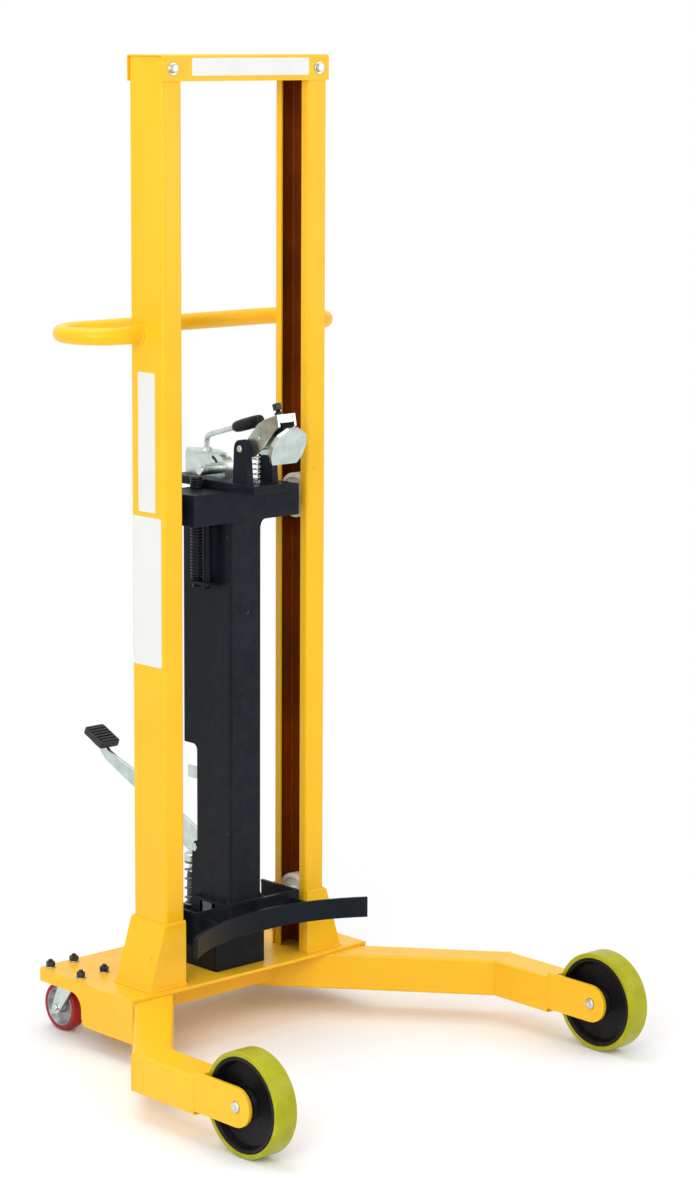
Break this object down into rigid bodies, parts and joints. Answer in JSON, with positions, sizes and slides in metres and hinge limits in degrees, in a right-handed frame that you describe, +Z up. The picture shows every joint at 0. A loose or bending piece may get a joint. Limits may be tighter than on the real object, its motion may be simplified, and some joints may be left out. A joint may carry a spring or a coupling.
{
  "type": "drum stacker",
  "caption": "Foot-pumped hydraulic drum stacker: channel masts on a splayed wheeled base, lifting carriage with a curved bumper and a beak clamp that grips a drum by its rim.",
  "frame": {"origin": "on the floor under the middle of the machine's bounding box", "axes": "+Z up, -Y towards the drum that is lifted, +Y towards the operator, +X to the right as the operator faces the drum from behind the masts"},
  "size_m": [1.018, 1.1544, 1.97],
  "materials": {
    "paint": "glossy golden yellow powder coat",
    "black": "semi-gloss black paint",
    "zinc": "bright zinc plated steel",
    "chrome": "hard chrome, polished",
    "dark_steel": "oiled spring steel",
    "wheel_polymer": "smooth yellow-green polyurethane",
    "caster_polymer": "red polyurethane",
    "caster_rim": "grey cast rim",
    "plastic": "black moulded plastic",
    "rubber": "ribbed black rubber",
    "nylon": "off-white nylon"
  },
  "bodies": {
    "frame": {"base_plate": "paint", "cross_tube": "paint", "leg_left": "paint", "leg_right": "paint", "fork_outer_left": "paint", "fork_inner_left": "paint", "fork_outer_right": "paint", "fork_inner_right": "paint", "wheel_pin_left": "zinc", "wheel_pin_right": "zinc", "caster_plate_left": "zinc", "caster_plate_right": "zinc", "mast_left": "paint", "mast_right": "paint", "mast_foot_left": "paint", "mast_foot_right": "paint", "crosspiece": "paint", "crosspiece_bolt_left": "zinc", "crosspiece_bolt_right": "zinc", "push_handle": "paint", "pump_block": "black", "lift_cylinder": "black", "pedal_pin": "zinc", "pump_spring": "zinc"},
    "carriage": {"carriage_column": "black", "upper_crossbar": "black", "lower_crossbar": "black", "bumper": "black", "piston_rod": "chrome", "clamp_base": "black", "beak_pin": "zinc", "guide_block": "zinc", "guide_pin": "zinc", "balance_spring": "dark_steel"},
    "beak": {"beak_arm": "zinc", "jaw_pin": "zinc", "set_bolt": "dark_steel"},
    "jaw": {"beak_jaw": "zinc"},
    "lock_lever": {"lock_handle": "zinc", "lock_grip": "plastic"},
    "pedal": {"pedal_arm": "zinc", "pedal_pad": "rubber"},
    "plunger": {"pump_plunger": "zinc"},
    "front_wheel_left": {"wheel_tyre_left": "wheel_polymer", "wheel_hub_left": "plastic"},
    "caster_left": {"caster_fork_left": "zinc", "caster_axle_left": "zinc"},
    "caster_wheel_left": {"caster_tyre_left": "caster_polymer", "caster_rim_left": "caster_rim"},
    "upper_roller_left": {"roller_upper_left": "nylon"},
    "lower_roller_left": {"roller_lower_left": "nylon"},
    "front_wheel_right": {"wheel_tyre_right": "wheel_polymer", "wheel_hub_right": "plastic"},
    "caster_right": {"caster_fork_right": "zinc", "caster_axle_right": "zinc"},
    "caster_wheel_right": {"caster_tyre_right": "caster_polymer", "caster_rim_right": "caster_rim"},
    "upper_roller_right": {"roller_upper_right": "nylon"},
    "lower_roller_right": {"roller_lower_right": "nylon"}
  },
  "joints": [
    {"name": "carriage_lift", "type": "slide", "parent": "frame", "child": "carriage", "axis": [0, 0, 1], "range_m": [0, 0.62]},
    {"name": "front_wheel_spin_left", "type": "hinge", "parent": "frame", "child": "front_wheel_left", "pos_m": [-0.468, -0.47719, 0.1], "axis": [1, 0, 0], "continuous": true},
    {"name": "caster_swivel_left", "type": "hinge", "parent": "frame", "child": "caster_left", "pos_m": [-0.2618, 0.29881, 0.1], "axis": [0, 0, 1], "continuous": true},
    {"name": "caster_wheel_spin_left", "type": "hinge", "parent": "caster_left", "child": "caster_wheel_left", "pos_m": [-0.2618, 0.34081, 0.05], "axis": [1, 0, 0], "continuous": true},
    {"name": "upper_roller_spin_left", "type": "hinge", "parent": "carriage", "child": "upper_roller_left", "pos_m": [-0.184, 0.12681, 1.087], "axis": [1, 0, 0], "continuous": true},
    {"name": "lower_roller_spin_left", "type": "hinge", "parent": "carriage", "child": "lower_roller_left", "pos_m": [-0.184, 0.12681, 0.248], "axis": [1, 0, 0], "continuous": true},
    {"name": "front_wheel_spin_right", "type": "hinge", "parent": "frame", "child": "front_wheel_right", "pos_m": [0.468, -0.47719, 0.1], "axis": [1, 0, 0], "continuous": true},
    {"name": "caster_swivel_right", "type": "hinge", "parent": "frame", "child": "caster_right", "pos_m": [0.2618, 0.29881, 0.1], "axis": [0, 0, 1], "continuous": true},
    {"name": "caster_wheel_spin_right", "type": "hinge", "parent": "caster_right", "child": "caster_wheel_right", "pos_m": [0.2618, 0.34081, 0.05], "axis": [1, 0, 0], "continuous": true},
    {"name": "upper_roller_spin_right", "type": "hinge", "parent": "carriage", "child": "upper_roller_right", "pos_m": [0.184, 0.12681, 1.087], "axis": [1, 0, 0], "continuous": true},
    {"name": "lower_roller_spin_right", "type": "hinge", "parent": "carriage", "child": "lower_roller_right", "pos_m": [0.184, 0.12681, 0.248], "axis": [1, 0, 0], "continuous": true},
    {"name": "beak_swing", "type": "hinge", "parent": "carriage", "child": "beak", "pos_m": [0, 0.05031, 1.207], "axis": [1, 0, 0], "range_deg": [0, 20], "stiffness_Nm_per_rad": 6, "springref_deg": -22.92},
    {"name": "jaw_tilt", "type": "hinge", "parent": "beak", "child": "jaw", "pos_m": [0, 0.01531, 1.2295], "axis": [1, 0, 0], "range_deg": [-5, 0]},
    {"name": "lock_swing", "type": "hinge", "parent": "carriage", "child": "lock_lever", "pos_m": [0, 0.19781, 1.2], "axis": [0, 0, 1], "range_deg": [-60, 60]},
    {"name": "pedal_press", "type": "hinge", "parent": "frame", "child": "pedal", "pos_m": [0, 0.19881, 0.372], "axis": [1, 0, 0], "range_deg": [-24, 0], "stiffness_Nm_per_rad": 12, "springref_deg": 22.92},
    {"name": "plunger_slide", "type": "slide", "parent": "frame", "child": "plunger", "axis": [0, 0, 1], "range_m": [-0.0195, 0], "deforming": ["pump_spring"]}
  ],
  "couplings": [
    {"joint": "upper_roller_spin_left", "follows": "carriage_lift", "rad_per_m": 21.882},
    {"joint": "lower_roller_spin_left", "follows": "carriage_lift", "rad_per_m": -21.882},
    {"joint": "upper_roller_spin_right", "follows": "carriage_lift", "rad_per_m": 21.882},
    {"joint": "lower_roller_spin_right", "follows": "carriage_lift", "rad_per_m": -21.882},
    {"joint": "plunger_slide", "follows": "pedal_press", "m_per_rad": 0.045}
  ]
}
